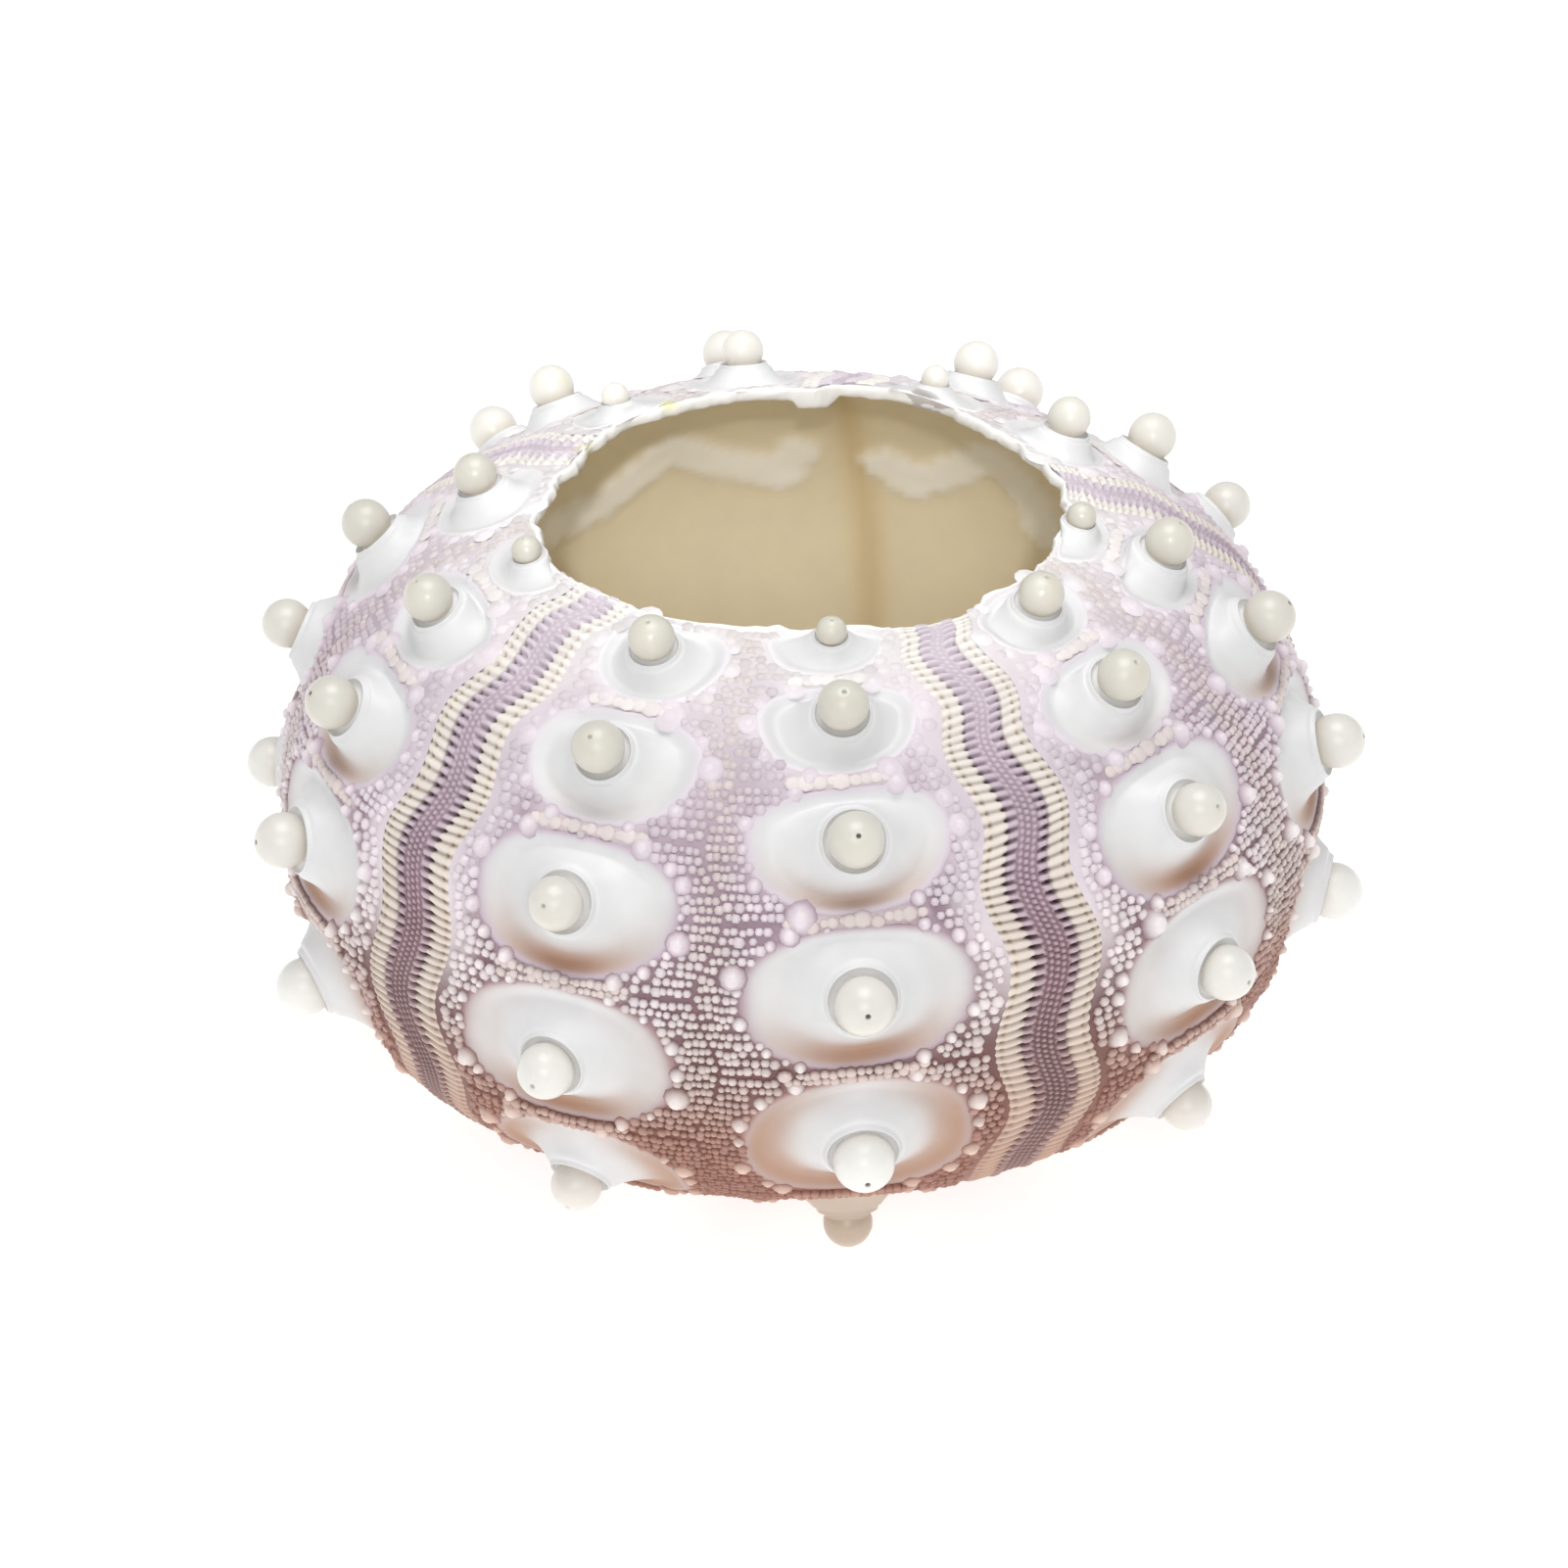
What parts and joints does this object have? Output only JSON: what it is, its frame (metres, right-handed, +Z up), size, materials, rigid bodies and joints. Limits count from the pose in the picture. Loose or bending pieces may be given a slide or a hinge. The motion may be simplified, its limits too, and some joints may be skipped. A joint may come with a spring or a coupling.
{
  "type": "sea urchin shell",
  "caption": "Empty round sea urchin shell with ball-topped bosses in oval basins, winding pore bands, and an open crown and mouth, used as a decoration.",
  "frame": {"origin": "middle of the bounding box's base, in the plane of the four worn balls that the shell stands on; the shell's own axis runs 0.35 mm from it, toward +X", "axes": "+Z up through the crown opening, along the shell's axis; -Y faces the viewer of the picture"},
  "size_m": [0.0778, 0.078, 0.0431],
  "materials": {
    "calcite": "bare calcite shell, satin: white basins and cream balls, lilac to purple grains between them, tan and smooth inside"
  },
  "bodies": {
    "root": {"urchin_shell": "calcite"}
  },
  "joints": []
}
